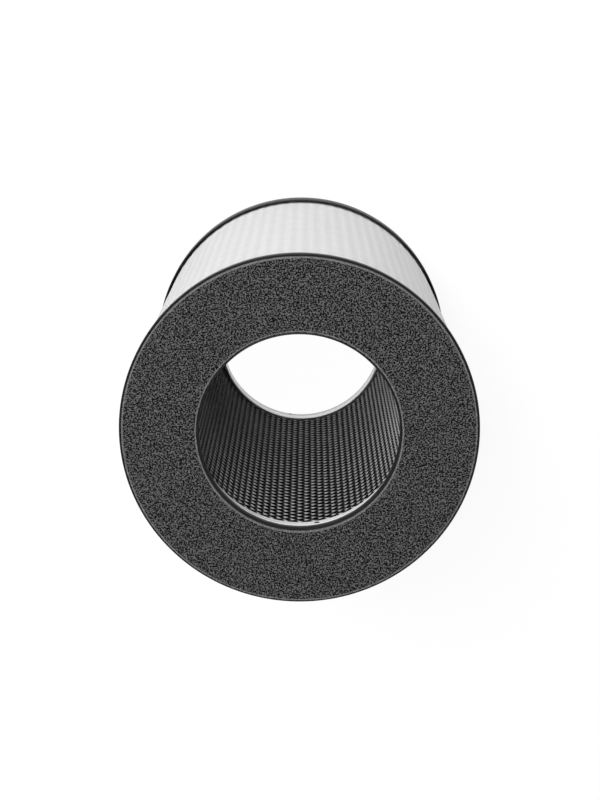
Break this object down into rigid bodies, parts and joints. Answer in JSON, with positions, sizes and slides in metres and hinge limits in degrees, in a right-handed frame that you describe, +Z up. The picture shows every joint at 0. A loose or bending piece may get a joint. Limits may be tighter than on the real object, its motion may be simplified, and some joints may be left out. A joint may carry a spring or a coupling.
{
  "type": "air purifier filter",
  "caption": "Round pleated air filter cartridge with a foam seal ring on top, black end caps, a white mesh wrap and an open bore lined with black diamond netting.",
  "frame": {"origin": "on the floor under the middle of the bore, where the bottom cap stands", "axes": "+Z up along the bore's axis from the bottom cap to the foam face; the wrap's lapped seam is at -Y"},
  "size_m": [0.162, 0.162, 0.202],
  "materials": {
    "seal_foam": "open-cell foam, matt",
    "tape": "double-sided tape",
    "cap_plastic": "satin moulded plastic",
    "adhesive": "set hot-melt adhesive",
    "filter_paper": "pleated filter paper",
    "mesh_wrap": "fine white mesh",
    "white_cloth": "thin non-woven cloth",
    "carbon": "carbon granules",
    "black_cloth": "thin black non-woven cloth",
    "net_plastic": "satin extruded netting",
    "collar_plastic": "satin white plastic"
  },
  "bodies": {
    "root": {"foam_seal": "seal_foam", "foam_tape": "tape", "top_cap": "cap_plastic", "bottom_cap": "cap_plastic", "top_potting": "adhesive", "bottom_potting": "adhesive", "pleated_pack": "filter_paper", "spacer_bead_1": "adhesive", "spacer_bead_2": "adhesive", "spacer_bead_3": "adhesive", "spacer_bead_4": "adhesive", "prefilter_wrap": "mesh_wrap", "separator_sleeve": "white_cloth", "carbon_bed": "carbon", "carbon_cloth": "black_cloth", "inner_net": "net_plastic", "top_collar": "collar_plastic", "bottom_collar": "collar_plastic"}
  },
  "joints": []
}
